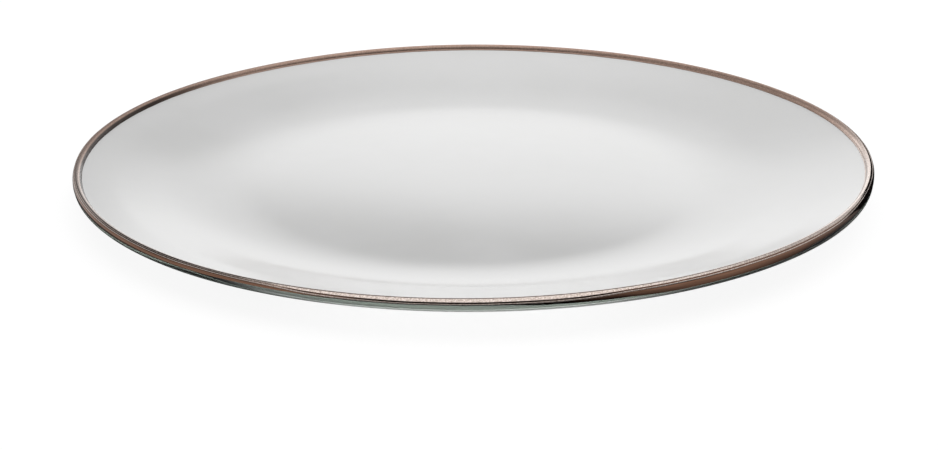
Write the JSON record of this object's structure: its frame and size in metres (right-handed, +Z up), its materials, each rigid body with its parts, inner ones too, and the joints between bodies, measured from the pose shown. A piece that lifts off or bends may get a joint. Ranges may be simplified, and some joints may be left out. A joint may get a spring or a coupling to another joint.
{
  "type": "charger plate",
  "caption": "Shallow round glass charger plate with a white enamelled face, a sloping rim and a narrow round lip coated in satin and bright metal lustre.",
  "frame": {"origin": "middle of the ground ring that the plate stands on, in its plane", "axes": "+Z up along the plate's axis, +X and +Y anywhere in the plane of the ring"},
  "size_m": [0.33, 0.33, 0.0172],
  "materials": {
    "pale_green_glass": "fire polished, clear with a green edge",
    "white_enamel": "glossy opaque fired enamel",
    "satin_lustre": "satin, finely grained metal lustre",
    "bright_lustre": "polished metal lustre"
  },
  "bodies": {
    "root": {"glass_body": "pale_green_glass", "white_enamel": "white_enamel", "satin_lustre_band": "satin_lustre", "bright_lustre_edge": "bright_lustre"}
  },
  "joints": []
}
